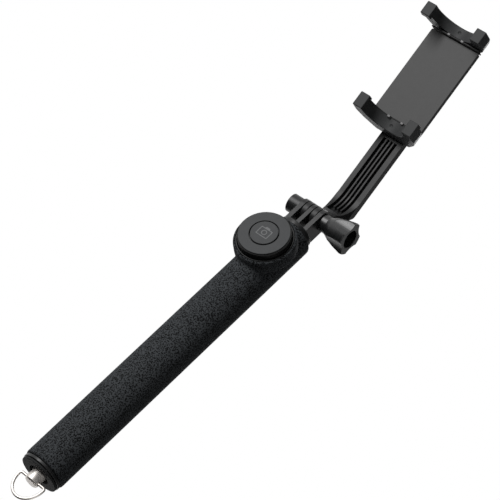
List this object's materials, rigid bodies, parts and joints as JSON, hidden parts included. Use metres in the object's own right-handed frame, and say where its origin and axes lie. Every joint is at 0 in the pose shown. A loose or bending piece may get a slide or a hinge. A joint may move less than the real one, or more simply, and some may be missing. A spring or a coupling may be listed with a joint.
{
  "type": "selfie stick",
  "caption": "Telescopic selfie stick with a foam grip, pull-out shutter remote, wrist-strap ring and a folding spring clamp for a phone on a thumb-screw hinge.",
  "frame": {"origin": "on the handle's axis, halfway along the foam grip", "axes": "+Z along the handle towards the phone clamp, -Y the way the shutter button faces, +X towards the thumb knob"},
  "size_m": [0.047, 0.0683, 0.3584],
  "materials": {
    "foam": "pebbled closed-cell foam",
    "satin": "satin dark grey",
    "shell": "satin grey",
    "plastic": "black, lightly textured",
    "rubber": "matt black rubber",
    "nylon": "black nylon",
    "alloy": "bright drawn tube",
    "steel": "nickel-plated steel",
    "brass": "turned",
    "board": "green solder mask"
  },
  "bodies": {
    "handle": {"foam_grip": "foam", "handle_tube": "alloy", "rim_collar": "plastic", "end_cap": "plastic", "thread_insert": "brass", "ring_stud": "steel", "remote_cup": "plastic", "handle_collar": "nylon"},
    "ring": {"d_ring": "steel"},
    "remote": {"remote_base": "plastic", "remote_lid": "shell", "coin_cell": "steel", "remote_board": "board", "dome_switch": "steel"},
    "shutter": {"shutter_button": "shell"},
    "section_1": {"section_tube_1": "alloy", "guide_bush_1": "nylon", "section_collar_1": "nylon"},
    "section_2": {"section_tube_2": "alloy", "guide_bush_2": "nylon", "section_collar_2": "nylon"},
    "section_3": {"section_tube_3": "alloy", "guide_bush_3": "nylon", "section_collar_3": "nylon"},
    "head": {"section_tube_4": "alloy", "guide_bush_4": "nylon", "hinge_head": "plastic", "hinge_nut": "steel", "head_pin": "steel"},
    "thumb_screw": {"thumb_knob": "plastic", "clamp_bolt": "steel"},
    "clamp": {"phone_arm": "plastic", "arm_screw_left": "steel", "arm_screw_right": "steel", "lower_jaw": "plastic", "lower_jaw_pad": "rubber", "clamp_plate": "satin", "clamp_housing": "plastic", "spring_pin_left": "steel", "spring_pin_right": "steel", "clamp_spring_left": "steel", "clamp_spring_right": "steel"},
    "slider": {"upper_jaw": "plastic", "upper_jaw_pad": "rubber"}
  },
  "joints": [
    {"name": "section_1_slide", "type": "slide", "parent": "handle", "child": "section_1", "axis": [0, 0, 1], "range_m": [0, 0.157]},
    {"name": "section_2_slide", "type": "slide", "parent": "section_1", "child": "section_2", "axis": [0, 0, 1], "range_m": [0, 0.155]},
    {"name": "section_3_slide", "type": "slide", "parent": "section_2", "child": "section_3", "axis": [0, 0, 1], "range_m": [0, 0.1525]},
    {"name": "section_4_slide", "type": "slide", "parent": "section_3", "child": "head", "axis": [0, 0, 1], "range_m": [0, 0.15]},
    {"name": "arm_tilt", "type": "hinge", "parent": "head", "child": "clamp", "pos_m": [0, 0, 0.11095], "axis": [1, 0, 0], "range_deg": [-75, 154]},
    {"name": "thumb_screw_turn", "type": "hinge", "parent": "head", "child": "thumb_screw", "pos_m": [0.015, 0, 0.11095], "axis": [1, 0, 0], "range_deg": [0, 720]},
    {"name": "jaw_slide", "type": "slide", "parent": "clamp", "child": "slider", "axis": [0, -0.3502, 0.9367], "range_m": [0, 0.03], "stiffness_N_per_m": 150, "springref_m": -0.02, "deforming": ["clamp_spring_left", "clamp_spring_right"]},
    {"name": "remote_release", "type": "slide", "parent": "handle", "child": "remote", "axis": [0, -1, 0], "range_m": [0, 0.02]},
    {"name": "shutter_press", "type": "slide", "parent": "remote", "child": "shutter", "axis": [0, 1, 0], "range_m": [0, 0.0006], "stiffness_N_per_m": 2000, "springref_m": -0.0002},
    {"name": "ring_swing", "type": "hinge", "parent": "handle", "child": "ring", "pos_m": [0, 0, -0.10175], "axis": [1, 0, 0], "range_deg": [-80, 80]}
  ]
}
